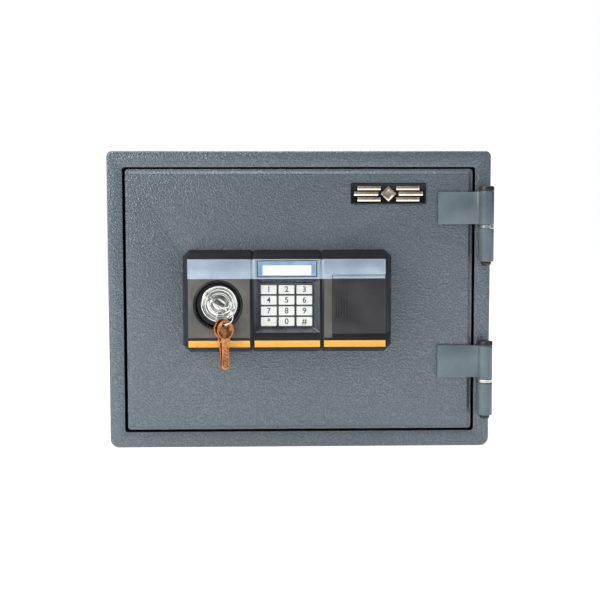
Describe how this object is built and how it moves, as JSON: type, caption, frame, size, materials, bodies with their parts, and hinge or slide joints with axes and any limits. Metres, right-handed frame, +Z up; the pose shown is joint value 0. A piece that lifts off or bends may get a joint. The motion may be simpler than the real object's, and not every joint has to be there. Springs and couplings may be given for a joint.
{
  "type": "safe",
  "caption": "Small fire-resistant steel safe with a swinging door on outside hinges, a keypad and display housing, and a key lock that drives side bolts.",
  "frame": {"origin": "middle of the cabinet's footprint, on the surface it stands on", "axes": "+X to the right seen from the front, towards the hinges; +Y from the door to the back; +Z up"},
  "size_m": [0.4127, 0.4205, 0.32],
  "materials": {
    "grey_paint": "satin",
    "dark_paint": "satin",
    "insulation": "matte",
    "seal": "matte",
    "black_plastic": "satin",
    "silver_plastic": "satin",
    "display": "gloss",
    "key_plastic": "satin",
    "rubber": "matte",
    "board": "satin",
    "battery": "gloss",
    "chrome": "polished",
    "steel": "satin",
    "brass": "satin"
  },
  "bodies": {
    "cabinet": {"outer_shell": "grey_paint", "back_panel": "grey_paint", "door_jamb": "dark_paint", "cabinet_insulation": "insulation", "inner_liner": "grey_paint", "fire_seal": "seal", "shelf": "grey_paint", "hinge_knuckle_upper": "grey_paint", "hinge_knuckle_lower": "grey_paint", "hinge_washer_upper": "steel", "hinge_washer_lower": "steel", "hinge_pin_upper": "dark_paint", "hinge_pin_lower": "dark_paint"},
    "door": {"door_outer_panel": "grey_paint", "door_insulation": "insulation", "door_inner_panel": "grey_paint", "nameplate": "black_plastic", "lock_housing": "black_plastic", "silver_trim": "silver_plastic", "display_window": "display", "display_module": "black_plastic", "keypad_mat": "rubber", "circuit_board": "board", "battery_tray": "black_plastic", "battery_1": "battery", "battery_2": "battery", "battery_3": "battery", "battery_4": "battery", "lock_escutcheon": "black_plastic", "lock_collar": "chrome", "cylinder_body": "steel", "lock_plate": "steel", "solenoid": "dark_paint", "dead_bar": "steel", "hinge_leaf_upper": "grey_paint", "hinge_leaf_lower": "grey_paint"},
    "key_core": {"key_plug": "chrome", "inserted_key": "steel", "crank": "steel"},
    "key_ring": {"key_ring": "chrome"},
    "spare_key": {"spare_key": "brass", "second_key": "brass"},
    "bolt_work": {"bolt_carriage": "steel", "bolt_upper": "chrome", "bolt_lower": "chrome"},
    "solenoid_plunger": {"solenoid_plunger": "steel"},
    "battery_cover": {"battery_cover": "black_plastic", "cover_strip": "silver_plastic"},
    "key_1": {"key_1": "key_plastic"},
    "key_2": {"key_2": "key_plastic"},
    "key_3": {"key_3": "key_plastic"},
    "key_4": {"key_4": "key_plastic"},
    "key_5": {"key_5": "key_plastic"},
    "key_6": {"key_6": "key_plastic"},
    "key_7": {"key_7": "key_plastic"},
    "key_8": {"key_8": "key_plastic"},
    "key_9": {"key_9": "key_plastic"},
    "key_star": {"key_star": "key_plastic"},
    "key_0": {"key_0": "key_plastic"},
    "key_hash": {"key_hash": "key_plastic"}
  },
  "joints": [
    {"name": "door_swing", "type": "hinge", "parent": "cabinet", "child": "door", "pos_m": [0.1988, -0.1935, 0.16], "axis": [0, 0, 1], "range_deg": [0, 175]},
    {"name": "key_turn", "type": "hinge", "parent": "door", "child": "key_core", "pos_m": [-0.0846, -0.2205, 0.1588], "axis": [0, -1, 0], "range_deg": [0, 90]},
    {"name": "bolt_slide", "type": "slide", "parent": "door", "child": "bolt_work", "axis": [-1, 0, 0], "range_m": [0, 0.018]},
    {"name": "plunger_lift", "type": "slide", "parent": "door", "child": "solenoid_plunger", "axis": [0, 0, 1], "range_m": [0, 0.006]},
    {"name": "battery_cover_slide", "type": "slide", "parent": "door", "child": "battery_cover", "axis": [1, 0, 0], "range_m": [0, 0.06]},
    {"name": "ring_swing", "type": "hinge", "parent": "key_core", "child": "key_ring", "pos_m": [-0.07486, -0.2318, 0.15318], "axis": [-0.826, 0.3006, 0.4769], "range_deg": [-4, 40]},
    {"name": "spare_key_swing", "type": "hinge", "parent": "key_ring", "child": "spare_key", "pos_m": [-0.07792, -0.23069, 0.13817], "axis": [-0.9397, 0.342, 0], "range_deg": [-3, 8]},
    {"name": "press_1", "type": "slide", "parent": "door", "child": "key_1", "axis": [0, 1, 0], "range_m": [0, 0.001], "stiffness_N_per_m": 400},
    {"name": "press_2", "type": "slide", "parent": "door", "child": "key_2", "axis": [0, 1, 0], "range_m": [0, 0.001], "stiffness_N_per_m": 400},
    {"name": "press_3", "type": "slide", "parent": "door", "child": "key_3", "axis": [0, 1, 0], "range_m": [0, 0.001], "stiffness_N_per_m": 400},
    {"name": "press_4", "type": "slide", "parent": "door", "child": "key_4", "axis": [0, 1, 0], "range_m": [0, 0.001], "stiffness_N_per_m": 400},
    {"name": "press_5", "type": "slide", "parent": "door", "child": "key_5", "axis": [0, 1, 0], "range_m": [0, 0.001], "stiffness_N_per_m": 400},
    {"name": "press_6", "type": "slide", "parent": "door", "child": "key_6", "axis": [0, 1, 0], "range_m": [0, 0.001], "stiffness_N_per_m": 400},
    {"name": "press_7", "type": "slide", "parent": "door", "child": "key_7", "axis": [0, 1, 0], "range_m": [0, 0.001], "stiffness_N_per_m": 400},
    {"name": "press_8", "type": "slide", "parent": "door", "child": "key_8", "axis": [0, 1, 0], "range_m": [0, 0.001], "stiffness_N_per_m": 400},
    {"name": "press_9", "type": "slide", "parent": "door", "child": "key_9", "axis": [0, 1, 0], "range_m": [0, 0.001], "stiffness_N_per_m": 400},
    {"name": "press_star", "type": "slide", "parent": "door", "child": "key_star", "axis": [0, 1, 0], "range_m": [0, 0.001], "stiffness_N_per_m": 400},
    {"name": "press_0", "type": "slide", "parent": "door", "child": "key_0", "axis": [0, 1, 0], "range_m": [0, 0.001], "stiffness_N_per_m": 400},
    {"name": "press_hash", "type": "slide", "parent": "door", "child": "key_hash", "axis": [0, 1, 0], "range_m": [0, 0.001], "stiffness_N_per_m": 400}
  ],
  "couplings": [
    {"joint": "bolt_slide", "follows": "key_turn", "m_per_rad": 0.01145}
  ]
}
